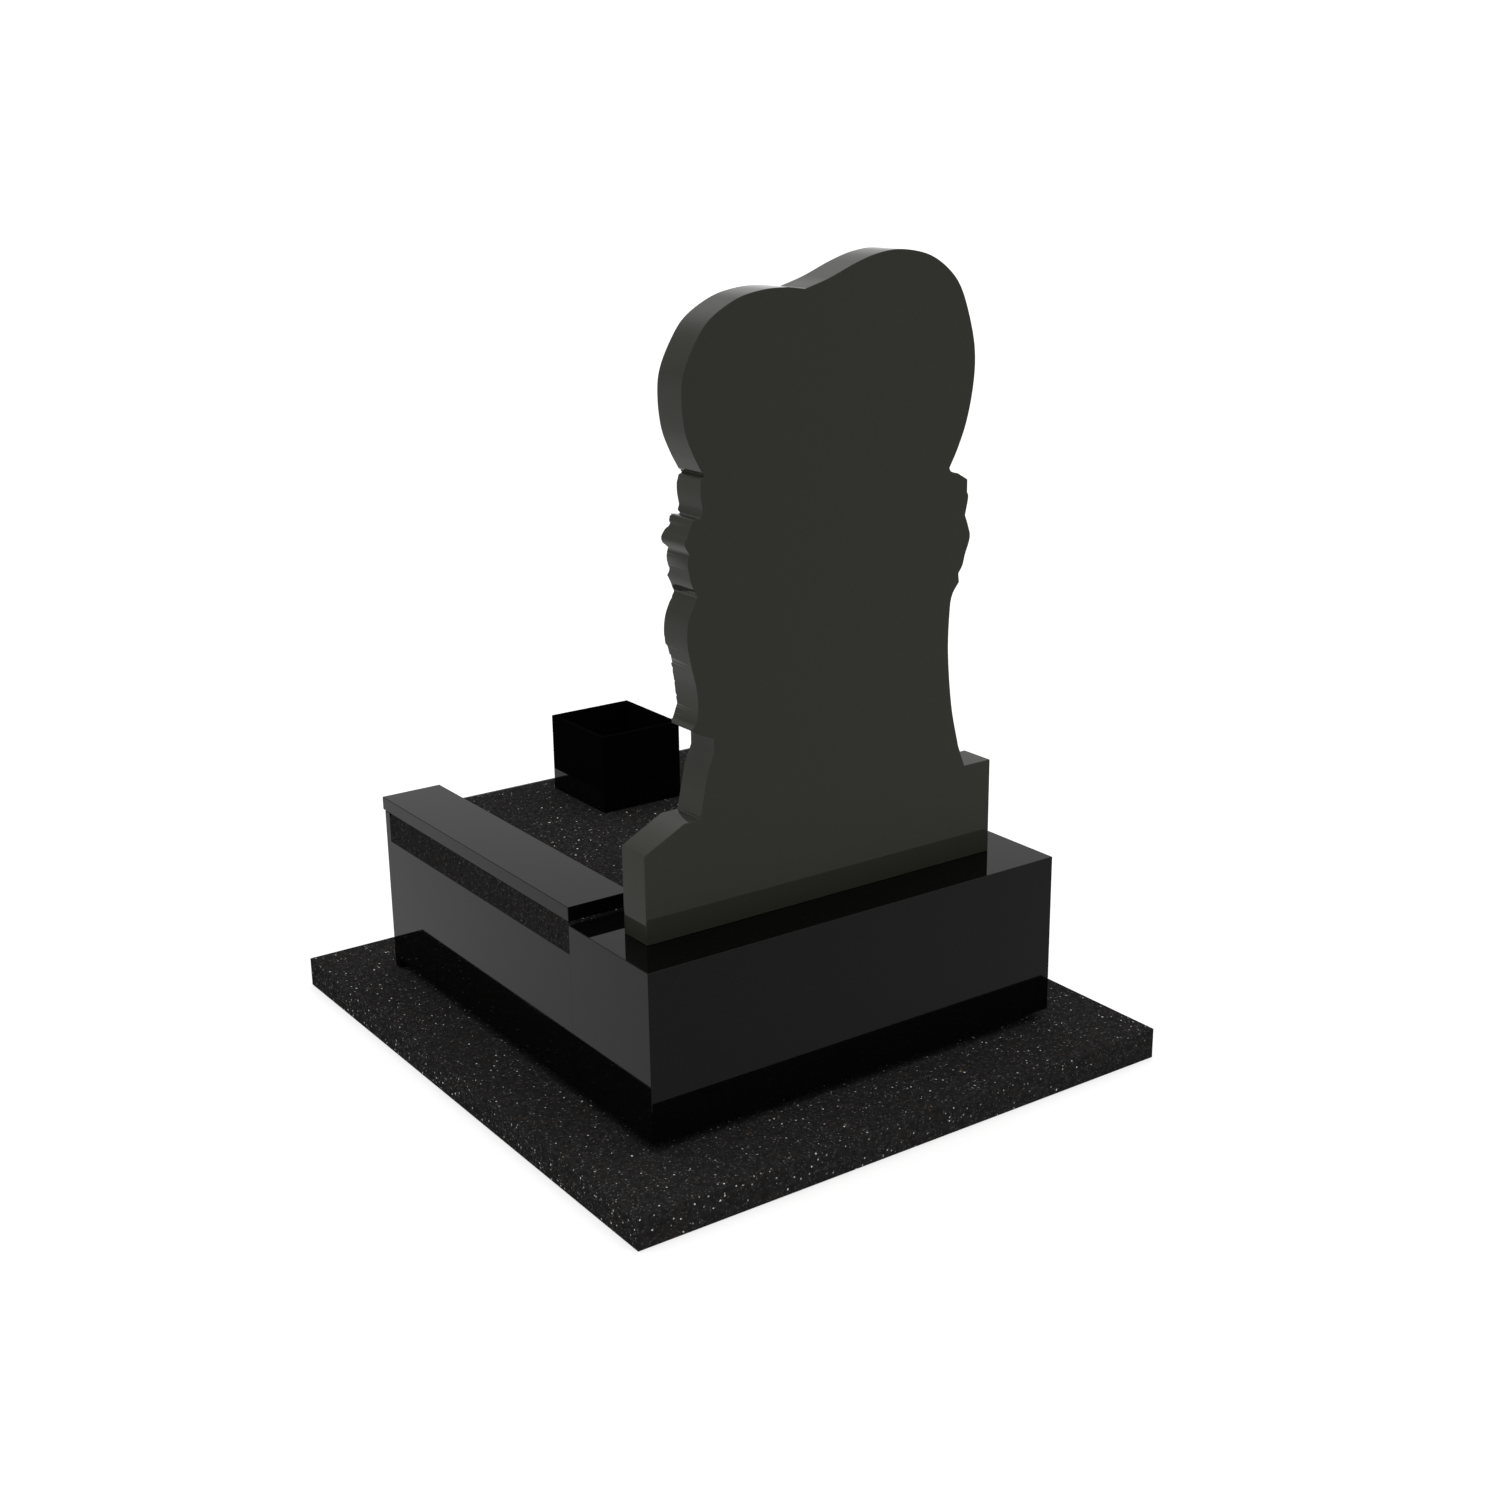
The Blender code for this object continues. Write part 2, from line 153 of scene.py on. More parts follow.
world = bpy.data.worlds.new("studio_sky")
world.use_nodes = True
bpy.context.scene.world = world
sky = world.node_tree
sky_direction = sky.nodes.new("ShaderNodeTexCoord")
sky_split = sky.nodes.new("ShaderNodeSeparateXYZ")
sky_ramp = sky.nodes.new("ShaderNodeValToRGB")
sky_light = sky.nodes["Background"]
set_stops(sky_ramp, [(height, grey(level / SKY_STRENGTH)) for height, level in SKY_RING])
sky.links.new(sky_direction.outputs["Generated"], sky_split.inputs[0])
sky.links.new(sky_split.outputs["Z"], sky_ramp.inputs[0])
sky.links.new(sky_ramp.outputs["Color"], sky_light.inputs["Color"])
sky_light.inputs["Strength"].default_value = SKY_STRENGTH
bpy.context.scene.view_settings.view_transform = "Standard"
print("sky stops:", SKY_RING)

# %% [markdown]
# ## The finishes
#
# Four kinds of finish are needed: mirror polished black, speckled, satin black, and the matt
# surface of the carving. All of them are patterns in space (Object coordinates), so the
# grain runs on from one face of a block to the next, as it does in real stone.
#
# A small set of helpers keeps the node trees short: they start a finish, add a node, add
# noise, turn a value into a range of colours, lay one colour over another, and let a
# pattern tilt the surface.

# %% Helpers for finishes
GRANITE_IOR = 1.5
# The sockets of a node that mixes two colours.
MIX_SHARE, MIX_BELOW, MIX_ABOVE, MIX_RESULT = 0, 6, 7, 2


def new_finish(name):
    """Returns a new material, its nodes, its shader and the space that its patterns lie in."""
    finish = bpy.data.materials.new(name)
    finish.use_nodes = True
    tree = finish.node_tree
    place = tree.nodes.new("ShaderNodeTexCoord")
    return finish, tree, tree.nodes["Principled BSDF"], place.outputs["Object"]


def add_node(tree, kind, settings=None, values=None):
    """Adds a node and sets its menu choices and its unlinked numbers."""
    node = tree.nodes.new(kind)
    for key, choice in (settings or {}).items():
        setattr(node, key, choice)
    for key, number in (values or {}).items():
        node.inputs[key].default_value = number
    return node


def add_noise(tree, space, scale, detail, roughness=0.5):
    """Adds noise in a space: the higher the scale, the finer it is."""
    values = {"Scale": scale, "Detail": detail, "Roughness": roughness}
    noise = add_node(tree, "ShaderNodeTexNoise", values=values)
    tree.links.new(space, noise.inputs["Vector"])
    return noise


def add_ramp(tree, source, stops, interpolation="LINEAR"):
    """Turns a value into colours."""
    ramp = tree.nodes.new("ShaderNodeValToRGB")
    ramp.color_ramp.interpolation = interpolation
    set_stops(ramp, stops)
    tree.links.new(source, ramp.inputs[0])
    return ramp.outputs["Color"]


def lay_over(tree, below, above, mask):
    """Lays one colour over another where a mask is white."""
    mix = add_node(tree, "ShaderNodeMix", {"data_type": "RGBA"})
    tree.links.new(mask, mix.inputs[MIX_SHARE])
    tree.links.new(below, mix.inputs[MIX_BELOW])
    tree.links.new(above, mix.inputs[MIX_ABOVE])
    return mix.outputs[MIX_RESULT]


def add_bump(tree, shader, source, strength, distance):
    """Lets a pattern tilt the surface, as if it stood out by a distance."""
    bump = add_node(tree, "ShaderNodeBump", values={"Strength": strength, "Distance": distance})
    tree.links.new(source, bump.inputs["Height"])
    tree.links.new(bump.outputs[0], shader.inputs["Normal"])


print("helpers ready")

# %% [markdown]
# ### Black granite, mirror polished
#
# Good black granite is a very fine grain of dark crystals. From a step away it's a plain
# black mirror; close up, a faint pepper of slightly lighter crystals shows. So the colour
# is nearly black with two fine patterns in it, and the gloss varies a little, as a
# polishing head leaves it.

# %% Make the black granite
PEPPER_SHARE = 0.04


def black_granite(name, dark, light, mirror, pepper_gain):
    """Polished black stone between two colours: mirror is how strongly it reflects."""
    finish, tree, shader, space = new_finish(name)
    grain = add_noise(tree, space, 420.0, 4.0, 0.7)
    polish = add_noise(tree, space, 5.0, 3.0)
    waves = add_noise(tree, space, 14.0, 1.0)
    crystals = add_node(tree, "ShaderNodeTexVoronoi", values={"Scale": 620.0})
    pick = add_node(tree, "ShaderNodeSeparateColor")
    tree.links.new(space, crystals.inputs["Vector"])
    tree.links.new(crystals.outputs["Color"], pick.inputs[0])
    base = add_ramp(tree, grain.outputs[0], [(0.3, dark), (0.7, light)])
    pepper_stops = [(0.0, grey(0.0)), (1.0 - PEPPER_SHARE, grey(1.0))]
    pepper = add_ramp(tree, pick.outputs[0], pepper_stops, "CONSTANT")
    pepper_colour = [pepper_gain * part for part in light]
    mix = add_node(tree, "ShaderNodeMix", {"data_type": "RGBA"}, {MIX_ABOVE: (*pepper_colour, 1)})
    tree.links.new(pepper, mix.inputs[MIX_SHARE])
    tree.links.new(base, mix.inputs[MIX_BELOW])
    tree.links.new(mix.outputs[MIX_RESULT], shader.inputs["Base Color"])
    gloss = add_ramp(tree, polish.outputs[0], [(0.3, grey(0.015)), (0.7, grey(0.05))])
    tree.links.new(gloss, shader.inputs["Roughness"])
    add_bump(tree, shader, waves.outputs[0], 0.01, 0.001)
    shader.inputs["IOR"].default_value = GRANITE_IOR
    shader.inputs["Specular IOR Level"].default_value = mirror
    return finish


body_black = black_granite(
    "body_black_granite",
    dark=(0.0007, 0.0007, 0.0007),
    light=(0.0020, 0.0020, 0.0019),
    mirror=0.086,
    pepper_gain=1.6,
)
heart_black = black_granite(
    "headstone_black_granite",
    dark=(0.0160, 0.0169, 0.0129),
    light=(0.0176, 0.0185, 0.0143),
    mirror=0.088,
    pepper_gain=1.1,
)
print("made", body_black.name, "and", heart_black.name)

# %% [markdown]
# ### Speckled granite
#
# The ground slab and the cover slab are another stone: near black, and full of flecks a
# few millimetres long. Most are white to grey, some are golden brown, and here and there
# one is much larger. Each size of fleck is one Voronoi pattern: every cell is one crystal,
# its random colour decides whether it is light, and the distance from its middle gives it
# a rounded edge. Noise bends the cells, because crystals aren't round.

# %% Make one size of fleck
FLECK_CORE = 0.6


def fleck_layer(tree, space, per_metre, share, reach, crowd):
    """One size of fleck, thinned out where crowd is dark. Returns its mask and a random number."""
    cells = add_node(tree, "ShaderNodeTexVoronoi", values={"Scale": per_metre})
    split = add_node(tree, "ShaderNodeSeparateColor")
    tree.links.new(space, cells.inputs["Vector"])
    tree.links.new(cells.outputs["Color"], split.inputs[0])
    chosen = add_ramp(tree, split.outputs[0], [(0.0, grey(0)), (1.0 - share, grey(1))], "CONSTANT")
    round_stops = [(reach * FLECK_CORE, grey(1)), (reach, grey(0))]
    mask = add_ramp(tree, cells.outputs["Distance"], round_stops)
    for other in (chosen, crowd):
        product = add_node(tree, "ShaderNodeMath", {"operation": "MULTIPLY"})
        tree.links.new(mask, product.inputs[0])
        tree.links.new(other, product.inputs[1])
        mask = product.outputs[0]
    return mask, split.outputs[1]


print("a fleck is whole up to", FLECK_CORE, "of its reach and fades out from there")

# %% Make the speckled granite
CELL_BEND = 0.0042
NEUTRAL_CLOUD = [(0.36, (0.0086, 0.0084, 0.0086)), (0.66, (0.0136, 0.0134, 0.0136))]
WARM_CLOUD = [(0.36, (0.0101, 0.0088, 0.0078)), (0.66, (0.0160, 0.0138, 0.0121))]
FAINT_FLECK = [(0.0, (0.050, 0.037, 0.028)), (0.12, (0.018, 0.0175, 0.0175)),
               (1.0, (0.066, 0.065, 0.065))]
PALE_FLECK = [(0.0, (0.17, 0.11, 0.062)), (0.12, (0.07, 0.068, 0.066)),
              (0.60, (0.19, 0.187, 0.184)), (0.90, (0.50, 0.49, 0.48))]
# Each size: cells in a metre, the share that are flecks, their reach in the cell, their colours.
FLECK_SIZES = [
    (280.0, 0.30, 0.50, FAINT_FLECK),
    (220.0, 0.060, 0.42, PALE_FLECK),
    (150.0, 0.006, 0.33, PALE_FLECK),
]


def speckled_granite(name):
    """Dark stone with three sizes of light flecks over soft brown and grey clouds."""
    finish, tree, shader, space = new_finish(name)
    bend = add_noise(tree, space, 190.0, 2.0)
    shift = add_node(tree, "ShaderNodeVectorMath", {"operation": "MULTIPLY_ADD"})
    shift.inputs[1].default_value = (CELL_BEND, CELL_BEND, CELL_BEND)
    tree.links.new(bend.outputs["Color"], shift.inputs[0])
    tree.links.new(space, shift.inputs[2])
    bent = shift.outputs[0]
    cloud = add_noise(tree, bent, 95.0, 2.0)
    patches = add_noise(tree, space, 38.0, 3.0, 0.6)
    herds = add_noise(tree, space, 62.0, 2.0)
    neutral = add_ramp(tree, cloud.outputs[0], NEUTRAL_CLOUD)
    warm = add_ramp(tree, cloud.outputs[0], WARM_CLOUD)
    where_warm = add_ramp(tree, patches.outputs[0], [(0.52, grey(0.0)), (0.68, grey(0.8))])
    crowd = add_ramp(tree, herds.outputs[0], [(0.40, grey(0.55)), (0.58, grey(1.0))])
    colour = lay_over(tree, neutral, warm, where_warm)
    for per_metre, share, reach, colours in FLECK_SIZES:
        mask, chance = fleck_layer(tree, bent, per_metre, share, reach, crowd)
        colour = lay_over(tree, colour, add_ramp(tree, chance, colours), mask)
    tree.links.new(colour, shader.inputs["Base Color"])
    dull = add_ramp(tree, cloud.outputs[0], [(0.3, grey(0.16)), (0.8, grey(0.34))])
    tree.links.new(dull, shader.inputs["Roughness"])
    add_bump(tree, shader, cloud.outputs[0], 0.08, 0.0004)
    shader.inputs["IOR"].default_value = GRANITE_IOR
    shader.inputs["Specular IOR Level"].default_value = 0.0
    return finish


speckled = speckled_granite("speckled_granite")
print("made", speckled.name)

# %% [markdown]
# ### Satin black for the planter
#
# The box of the planter has no mirror in it. It is honed, which leaves the stone matt, so
# it reflects next to nothing and shows only a fine grain.

# %% Make the satin black
def satin_black(name):
    """Honed black stone with a fine grain."""
    finish, tree, shader, space = new_finish(name)
    grain = add_noise(tree, space, 700.0, 5.0, 0.7)
    base = add_ramp(tree, grain.outputs[0], [(0.35, grey(0.0008)), (0.75, grey(0.0022))])
    tree.links.new(base, shader.inputs["Base Color"])
    dull = add_ramp(tree, grain.outputs[0], [(0.3, grey(0.42)), (0.7, grey(0.58))])
    tree.links.new(dull, shader.inputs["Roughness"])
    add_bump(tree, shader, grain.outputs[0], 0.1, 0.0003)
    shader.inputs["Specular IOR Level"].default_value = 0.0
    return finish


planter_satin = satin_black("planter_satin_black")
print("made", planter_satin.name)

# %% [markdown]
# ## Dress the plain stones
#
# Slabs, kerbs, strips and blocks are right as solids, down to the small chamfer that a
# mason grinds on every edge so that it doesn't chip. They only need their finish, which is
# put in each one's material slot.

# %% Give each plain stone its finish
FINISH_OF = {
    "ground_slab": speckled,
    "cover_slab": speckled,
    "rear_plinth": body_black,
    "right_kerb": body_black,
    "left_kerb": body_black,
    "front_plate": body_black,
    "right_cap": body_black,
    "left_cap": body_black,
    "planter_foot": body_black,
    "planter": planter_satin,
}
for node_name, finish in FINISH_OF.items():
    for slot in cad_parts[node_name].material_slots:
        slot.material = finish
print("finished", len(FINISH_OF), "stones")

# %% [markdown]
# ## The heart slab
#
# The headstone is one slab, sawn to its outline and then carved. It replaces its solid,
# because the solid has only a few straight steps in each curve and plain cut lines for
# the carving. The outline is drawn as a person would on the stone: a few marks, a smooth
# line through each row of marks, and a sharp corner where one line stops and the next
# begins. The marks are thousandths of the figure's height, from the middle of its foot.
#
# At the right waist the line steps in and out again under the heart. That is a crevice,
# which parts the heart from the carving below it.

# %% Mark the outline
RIGHT_OF_FIGURE = [
    [(277, 105), (262, 141)],
    [(262, 141), (262, 169)],
    [(262, 169), (288, 179), (310, 192)],
    [(310, 192), (299, 204), (294, 229), (297, 267), (307, 310), (314, 352), (310, 390),
     (291, 430)],
    [(291, 430), (303, 456), (308, 478)],
    [(308, 478), (310, 492), (306, 508)],
    [(306, 508), (315, 527), (308, 541)],
    [(308, 541), (303, 553), (296, 568)],
    [(296, 568), (281, 569)],
    [(281, 569), (276, 582)],
    [(276, 582), (280, 608), (279, 636)],
    [(279, 636), (270, 642)],
    [(270, 642), (275, 645)],
]
HEART = [
    [(275, 645), (293, 678), (309, 719), (315, 771), (310, 817), (286, 866), (255, 904), (201, 934),
     (149, 946), (99, 948), (55, 943)],
    [(55, 943), (4, 958), (-58, 982), (-108, 996), (-160, 1000), (-223, 988), (-272, 959),
     (-304, 920), (-329, 851), (-338, 797), (-334, 740), (-320, 680), (-300, 632), (-280, 596)],
]
LEFT_OF_FIGURE = [
    [(-280, 596), (-285, 589), (-301, 584)],
    [(-301, 584), (-325, 570)],
    [(-325, 570), (-325, 546)],
    [(-325, 546), (-328, 535), (-321, 502)],
    [(-321, 502), (-329, 481), (-334, 458), (-322, 424)],
    [(-322, 424), (-317, 406), (-307, 391)],
    [(-307, 391), (-309, 374)],
    [(-309, 374), (-293, 352), (-287, 320), (-285, 237), (-296, 129), (-315, 45)],
]
print("runs of marks:", len(RIGHT_OF_FIGURE), "on the right,", len(HEART), "round the heart and",
      len(LEFT_OF_FIGURE), "on the left")

# %% [markdown]
# A curve through marks can pass a little above the highest of them. Here the heart's top
# would come out a third of a millimetre above its solid, so that much is taken off, evenly
# from the figure's foot to its top.

# %% Draw the outline
CURVE_STEPS = 10
MARKS_IN_HEIGHT = 1000
PEDESTAL_HEIGHT = 0.1817
stone_low, stone_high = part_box("headstone")
STONE_FOOT = stone_low[2]
STONE_FRONT = stone_low[1]
STONE_BACK = stone_high[1]
PEDESTAL_RIGHT = stone_high[0]
PEDESTAL_LEFT = stone_low[0]
FIGURE_FOOT = STONE_FOOT + PEDESTAL_HEIGHT
FIGURE_HEIGHT = stone_high[2] - FIGURE_FOOT


def on_stone(mark):
    """Turns a mark into (across, height) in metres."""
    return Vector(mark) * FIGURE_HEIGHT / MARKS_IN_HEIGHT + Vector((0, FIGURE_FOOT))


def smooth_line(marks, steps=CURVE_STEPS):
    """Points along a smooth (Catmull-Rom) curve through the marks, without the last one."""
    if len(marks) == 2:
        return [marks[0]]
    ends = [2 * marks[0] - marks[1]] + marks + [2 * marks[-1] - marks[-2]]
    line = []
    for before, start, stop, after in zip(ends, ends[1:], ends[2:], ends[3:]):
        for step in range(steps):
            t = step / steps
            bend = 2 * before - 5 * start + 4 * stop - after
            swing = 3 * start - before - 3 * stop + after
            line.append(0.5 * (2 * start + (stop - before) * t + bend * t**2 + swing * t**3))
    return line


figure = []
for run in RIGHT_OF_FIGURE + HEART + LEFT_OF_FIGURE:
    figure += smooth_line([on_stone(mark) for mark in run])
figure.append(on_stone(LEFT_OF_FIGURE[-1][-1]))
swell = max(point.y for point in figure) - stone_high[2]
for point in figure:
    point.y -= swell * (point.y - FIGURE_FOOT) / (FIGURE_HEIGHT + swell)
print("figure", len(figure), "points,", round(FIGURE_HEIGHT, 4), "m high")
print("taken off at the top:", round(swell, 5), "m")

# %% [markdown]
# The slab itself starts as a filled circle with as many corners as the outline has points.
# Each corner is set on its point, the face is extruded through the slab's thickness, and
# every sharp edge gets the narrow chamfer that keeps polished stone from chipping.

# %% Saw the slab
SHOULDER_OUTER_HEIGHT = 0.1607
SHOULDER_HEIGHT = 0.2017
SHOULDER_SLOPE_RUN = 0.081
FOOT_RIGHT_MARK = (295, 0)
FOOT_LEFT_MARK = (-332, 0)
EDGE_CHAMFER = 0.0012
CHAMFERED_ANGLE = math.radians(40)

foot_right = on_stone(FOOT_RIGHT_MARK).x
foot_left = on_stone(FOOT_LEFT_MARK).x
pedestal_right = [
    (PEDESTAL_RIGHT, STONE_FOOT),
    (PEDESTAL_RIGHT, STONE_FOOT + SHOULDER_OUTER_HEIGHT),
    (PEDESTAL_RIGHT - SHOULDER_SLOPE_RUN, STONE_FOOT + SHOULDER_HEIGHT),
    (foot_right, STONE_FOOT + SHOULDER_HEIGHT),
]
pedestal_left = [
    (foot_left, FIGURE_FOOT),
    (PEDESTAL_LEFT, FIGURE_FOOT),
    (PEDESTAL_LEFT, STONE_FOOT),
]
outline = pedestal_right + [tuple(point) for point in figure] + pedestal_left


def extrude_all(distance):
    """Extrudes every face of the active piece along Y."""
    bpy.ops.object.mode_set(mode="EDIT")
    bpy.ops.mesh.select_all(action="SELECT")
    bpy.ops.mesh.extrude_region_move(TRANSFORM_OT_translate={"value": (0, distance, 0)})
    bpy.ops.object.mode_set(mode="OBJECT")


def turn_faces_outward():
    """Lets every face of the active piece look outward."""
    bpy.ops.object.mode_set(mode="EDIT")
    bpy.ops.mesh.select_all(action="SELECT")
    bpy.ops.mesh.normals_make_consistent(inside=False)
    bpy.ops.object.mode_set(mode="OBJECT")


def apply_modifier(piece, modifier):
    """Applies one modifier, as the menu in the modifier's own panel does."""
    bpy.context.view_layer.objects.active = piece
    bpy.ops.object.modifier_apply(modifier=modifier.name)


deselect_all()
bpy.ops.mesh.primitive_circle_add(vertices=len(outline), fill_type="NGON")
slab = bpy.context.object
slab.name = "heart_slab"
for corner, (across, height) in zip(slab.data.vertices, outline):
    corner.co = (across, STONE_BACK, height)
extrude_all(STONE_FRONT - STONE_BACK)
turn_faces_outward()
chamfer = slab.modifiers.new("chamfer", "BEVEL")
chamfer.width = EDGE_CHAMFER
chamfer.segments = 1
chamfer.limit_method = "ANGLE"
chamfer.angle_limit = CHAMFERED_ANGLE
apply_modifier(slab, chamfer)
slab.data.materials.append(heart_black)
print(slab.name, "has", len(slab.data.polygons), "faces")

# %% [markdown]
# ### Roses and leaves in sunk relief
#
# Seen from behind, the outline bulges where the carving of the front reaches the edge: a
# rose at each side of the heart's point, with leaves around it. On black granite such work
# is sunk relief: its highest places are level with the polished face, and the ground
# around it falls away.
#
# Sinking is done with a mould. The mould is a fine grid pressed in as deep as the carving
# is at each point, then closed to a block and subtracted from the slab. Its depth comes
# from a height between 0 (the ground) and 1 (the polished face), worked out for the whole
# grid at once with numpy. A rose is rings of petals, each petal raised to a rolled lip and
# tipped so that it laps over its neighbour. A leaf is two swellings along a rib.

# %% Carve a rose as heights
CARVING_DEPTH = 0.013
# Each ring: its radius, its petals, its turn, and the heights of a petal's root and lip.
ROSE_RINGS = [
    (0.30, 3, 0.05, 0.55, 0.94),
    (0.52, 4, 0.30, 0.34, 0.88),
    (0.77, 5, 0.12, 0.18, 0.80),
    (1.00, 5, 0.52, 0.04, 0.70),
]
PETAL_NOTCH = 0.16
PETAL_TIP = 0.30
LIP_ROLL = 0.30
LIP_WIDTH = 0.10
BUD_RADIUS = 0.17
BUD_TURN = 0.085
BUD_RISE = 0.30


def petal_rim(around, petals, turn):
    """How far across its petal each point lies, and how far out the petal's rim is there."""
    part = np.mod((around - turn) * petals, 1.0)
    return part, 1 - PETAL_NOTCH + PETAL_NOTCH * np.sqrt(np.sin(np.pi * part))


def rose_height(across, height, centre, radius):
    """Heights of a rose head, and how far outside it each point is (negative inside)."""
    east = across - centre[0]
    north = height - centre[1]
    reach = np.hypot(east, north) / radius
    around = np.arctan2(north, east) / (2 * np.pi)
    level = np.zeros_like(reach)
    for ring_radius, petals, turn, root, lip in reversed(ROSE_RINGS):
        part, rim = petal_rim(around, petals, turn)
        share = reach / (ring_radius * rim)
        petal = root + (lip - root) * share**2 + PETAL_TIP * (part - 0.5) * share
        petal -= LIP_ROLL * np.clip((share - (1 - LIP_WIDTH)) / LIP_WIDTH, 0, 1) ** 2
        level = np.where(share < 1.0, petal, level)
    bud = 1 - BUD_RISE + BUD_RISE * np.mod(around + reach / BUD_TURN, 1.0)
    level = np.where(reach < BUD_RADIUS, bud, level)
    outer_petals, outer_turn = ROSE_RINGS[-1][1:3]
    rim = petal_rim(around, outer_petals, outer_turn)[1]
    return np.clip(level, 0, 1), (reach - rim) * radius


print("a rose has", sum(ring[1] for ring in ROSE_RINGS), "petals round its bud")

# %% Carve a leaf as heights
LEAF_STEPS = 8
LEAF_TAPER = 0.85
LEAF_FULLNESS = 0.75
LEAF_TEETH = 0.10
LEAF_EDGE = 0.22
LEAF_SWELL = 0.58
LEAF_SWELL_PLACE = 0.8
LEAF_LOWEST = 0.05
VEINS = 7
VEIN_SLANT = 0.9
VEIN_DEPTH = 0.22
VEIN_WIDTH = 0.10
FAR_OFF = 9.0
HAIR = 1e-6


def leaf_height(across, height, rib, half_width):
    """Heights of a leaf along its rib, and how far outside it each point is."""
    points = [Vector(point) for point in rib]
    line = smooth_line(points, LEAF_STEPS) + points[-1:]
    lengths = np.cumsum([0.0] + [(b - a).length for a, b in zip(line, line[1:])])
    nearest = np.full(across.shape, FAR_OFF)
    along = np.zeros_like(nearest)
    for start, stop, gone in zip(line, line[1:], lengths):
        step = stop - start
        share = ((across - start.x) * step.x + (height - start.y) * step.y) / step.length_squared
        share = np.clip(share, 0, 1)
        gap = np.hypot(across - start.x - share * step.x, height - start.y - share * step.y)
        closer = gap < nearest
        nearest = np.where(closer, gap, nearest)
        along = np.where(closer, (gone + share * step.length) / lengths[-1], along)
    width = half_width * np.sin(np.pi * np.clip(along, 0, 1) ** LEAF_TAPER) ** LEAF_FULLNESS
    width = width * (1 - LEAF_TEETH * np.mod(along * VEINS * 2, 1.0)) + HAIR
    share = nearest / width
    hump = np.sin(np.pi * np.clip(share, 0, 1) ** LEAF_SWELL_PLACE)
    level = LEAF_EDGE + LEAF_SWELL * np.sqrt(np.clip(hump, 0, 1))
    vein = np.abs(np.mod(along * VEINS - share * VEIN_SLANT, 1.0) - 0.5)
    level -= VEIN_DEPTH * np.clip(1 - vein / VEIN_WIDTH, 0, 1)
    return np.where(share < 1.0, np.clip(level, LEAF_LOWEST, 1), 0.0), nearest - width


print("a leaf has", VEINS, "veins on each side")

# %% [markdown]
# One mould serves each side of the stone. Where shapes overlap, the rose lies over the
# leaves. Round them the ground is sunk, and it rises to the polished face in a soft slope.
# Where the carving would be shallower than a scratch, the mould keeps clear of the face.

# %% Make a mould
GRID_STEP = 0.0015
GROUND_RISE = 0.011
SHALLOWEST_CUT = 0.0002
MOULD_CLEARANCE = 0.0008
MOULD_STANDOFF = 0.012


def carving_mould(name, low, high, rose, leaves):
    """A closed block whose inner face carries a rose and its leaves."""
    size_across, size_high = high[0] - low[0], high[1] - low[1]
    columns, rows = round(size_across / GRID_STEP), round(size_high / GRID_STEP)
    deselect_all()
    bpy.ops.mesh.primitive_grid_add(x_subdivisions=columns, y_subdivisions=rows, size=1)
    block = bpy.context.object
    block.name = name
    places = np.empty(len(block.data.vertices) * 3)
    block.data.vertices.foreach_get("co", places)
    places = places.reshape(-1, 3)
    across = low[0] + (places[:, 0] + 0.5) * size_across
    height = low[1] + (places[:, 1] + 0.5) * size_high
    level, outside = rose_height(across, height, *rose)
    for rib, half_width in leaves:
        leaf_level, leaf_outside = leaf_height(across, height, rib, half_width)
        free = outside > 0
        level = np.where(free & (leaf_outside < 0) & (level < leaf_level), leaf_level, level)
        outside = np.where(free, np.minimum(outside, leaf_outside), outside)
    ground = np.clip(1 - outside / GROUND_RISE, 0, 1)
    ground = ground * ground * (3 - 2 * ground)
    depth = np.where(outside < 0, 1 - level, ground) * CARVING_DEPTH
    depth = np.where(depth < SHALLOWEST_CUT, -MOULD_CLEARANCE, depth)
    pressed = np.column_stack([across, STONE_FRONT + depth, height])
    block.data.vertices.foreach_set("co", pressed.ravel())
    extrude_all(-MOULD_STANDOFF)
    for corner in block.data.vertices:
        if corner.select:
            corner.co.y = STONE_FRONT - MOULD_STANDOFF
    turn_faces_outward()
    return block


print("a mould has a corner every", GRID_STEP, "m")

# %% Press the two moulds
MARK = FIGURE_HEIGHT / MARKS_IN_HEIGHT
ROSE_RADIUS = 62 * MARK


def rib_of(*marks):
    """The marks of a leaf's rib as places on the stone."""
    return [tuple(on_stone(mark)) for mark in marks]


right_mould = carving_mould(
    "right_mould",
    on_stone((166, 160)),
    on_stone((330, 600)),
    (on_stone((248, 490)), ROSE_RADIUS),
    [
        (rib_of((272, 440), (268, 350), (277, 275), (306, 194)), 38 * MARK),
        (rib_of((262, 520), (284, 548), (300, 572)), 18 * MARK),
    ],
)
left_mould = carving_mould(
    "left_mould",
    on_stone((-345, 350)),
    on_stone((-158, 610)),
    (on_stone((-270, 474)), ROSE_RADIUS),
    [
        (rib_of((-285, 520), (-308, 552), (-330, 578)), 22 * MARK),
        (rib_of((-280, 440), (-296, 408), (-311, 368)), 22 * MARK),
        (rib_of((-234, 442), (-209, 417), (-200, 377)), 20 * MARK),
    ],
)
print("moulds:", len(right_mould.data.polygons), "and", len(left_mould.data.polygons), "faces")

# %% [markdown]
# ### The heart's lower point
#
# The outline gives the heart only down to its waist. Below that its edge is cut into the
# face: steep on the heart's side and sloping away outside it, so that the heart seems to
# stand forward. The cut is a profile swept along a curve. The curve runs past the slab's
# edge at both ends, so the cut opens into the side of the stone.

# %% Sweep the edge of the heart
HEART_POINT = [(308, 670), (275, 644), (232, 588), (182, 520), (110, 432), (21, 330), (-93, 412),
               (-186, 495), (-243, 552), (-280, 596), (-314, 610)]
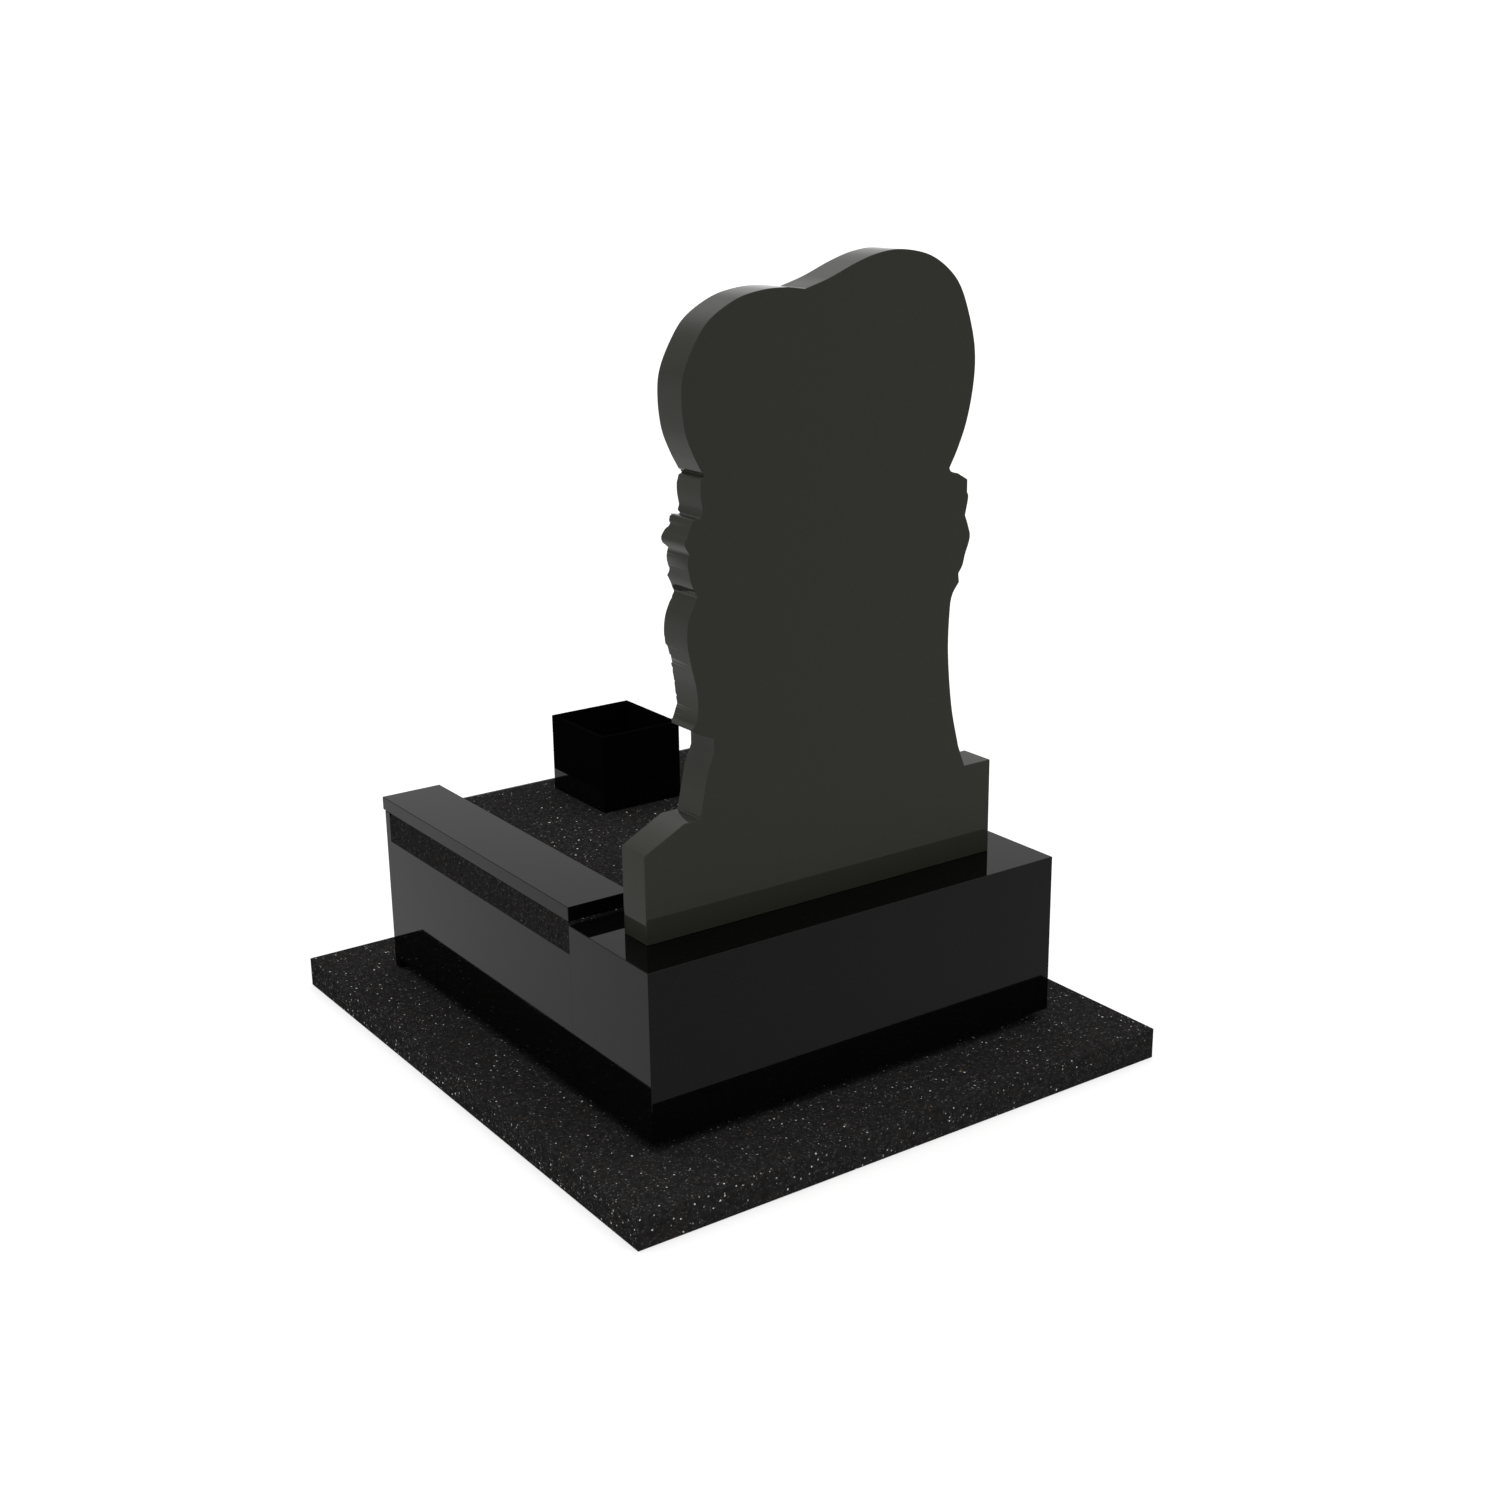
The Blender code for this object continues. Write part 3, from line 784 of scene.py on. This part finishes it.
# Each corner: how far it is across the curve, and how far before the face (behind if negative).
EDGE_PROFILE = [(0.0012, 0.001), (0.0, -0.008), (-0.005, -0.0072), (-0.012, -0.0038),
                (-0.021, 0.001)]
WELD_DISTANCE = 1e-6


def sweep(name, path, profile):
    """A closed tool: a profile of (across, before) corners swept along a path on the face."""
    trace = bpy.data.curves.new(name + "_profile", "CURVE")
    ring = trace.splines.new("POLY")
    ring.points.add(len(profile) - 1)
    ring.use_cyclic_u = True
    for point, (across, before) in zip(ring.points, profile):
        point.co = (across, before, 0, 1)
    tracer = bpy.data.objects.new(name + "_profile", trace)
    bpy.context.scene.collection.objects.link(tracer)
    guide = bpy.data.curves.new(name, "CURVE")
    guide.dimensions = "3D"
    guide.twist_mode = "Z_UP"
    guide.bevel_mode = "OBJECT"
    guide.bevel_object = tracer
    guide.use_fill_caps = True
    spline = guide.splines.new("POLY")
    spline.points.add(len(path) - 1)
    for point, place in zip(spline.points, path):
        point.co = (place.x, place.y, 0, 1)
    tool = bpy.data.objects.new(name, guide)
    bpy.context.scene.collection.objects.link(tool)
    deselect_all()
    tool.select_set(True)
    bpy.context.view_layer.objects.active = tool
    bpy.ops.object.convert(target="MESH")
    tool = bpy.context.object
    for corner in tool.data.vertices:
        corner.co = (corner.co.x, STONE_FRONT - corner.co.z, corner.co.y)
    bpy.ops.object.mode_set(mode="EDIT")
    bpy.ops.mesh.select_all(action="SELECT")
    bpy.ops.mesh.remove_doubles(threshold=WELD_DISTANCE)
    bpy.ops.object.mode_set(mode="OBJECT")
    turn_faces_outward()
    bpy.data.objects.remove(tracer)
    return tool


point_line = smooth_line([on_stone(mark) for mark in HEART_POINT]) + [on_stone(HEART_POINT[-1])]
heart_edge = sweep("heart_edge", point_line, EDGE_PROFILE)
print(heart_edge.name, "is", [round(value, 4) for value in heart_edge.dimensions], "m")

# %% [markdown]
# The tools are now cut from the slab, one after another. The fresh cuts take the tool's
# own finish: sunk granite isn't polished, so it is matt and a little lighter. The curved
# sides are shaded smooth, but the flat front and back stay flat, because a mirror shows
# the smallest bend.

# %% Make the carved finish
def carved_granite(name):
    """Granite as the chisel leaves it: matt, dark grey, finely pitted."""
    finish, tree, shader, space = new_finish(name)
    pits = add_noise(tree, space, 650.0, 5.0, 0.75)
    pale = (0.150, 0.150, 0.144)
    base = add_ramp(tree, pits.outputs[0], [(0.3, (0.070, 0.070, 0.067)), (0.7, pale)])
    tree.links.new(base, shader.inputs["Base Color"])
    dull = add_ramp(tree, pits.outputs[0], [(0.3, grey(0.55)), (0.7, grey(0.75))])
    tree.links.new(dull, shader.inputs["Roughness"])
    add_bump(tree, shader, pits.outputs[0], 0.25, 0.0004)
    shader.inputs["Specular IOR Level"].default_value = 0.2
    return finish


carved = carved_granite("carved_granite")
print("made", carved.name)

# %% Cut the slab
SMOOTHED_ANGLE = math.radians(32)
LEVEL_NORMAL = 0.9999

for tool in (heart_edge, right_mould, left_mould):
    tool.data.materials.clear()
    tool.data.materials.append(carved)
    cut = slab.modifiers.new(tool.name, "BOOLEAN")
    cut.operation = "DIFFERENCE"
    cut.solver = "EXACT"
    cut.material_mode = "TRANSFER"
    cut.object = tool
    apply_modifier(slab, cut)
    bpy.data.objects.remove(tool)
    print("after a cut:", len(slab.data.polygons), "faces,", len(slab.data.materials), "finishes")
deselect_all()
slab.select_set(True)
bpy.context.view_layer.objects.active = slab
bpy.ops.object.shade_smooth_by_angle(angle=SMOOTHED_ANGLE)
for face in slab.data.polygons:
    if abs(face.normal.y) > LEVEL_NORMAL:
        face.use_smooth = False
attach(slab, "root")
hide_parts("headstone")
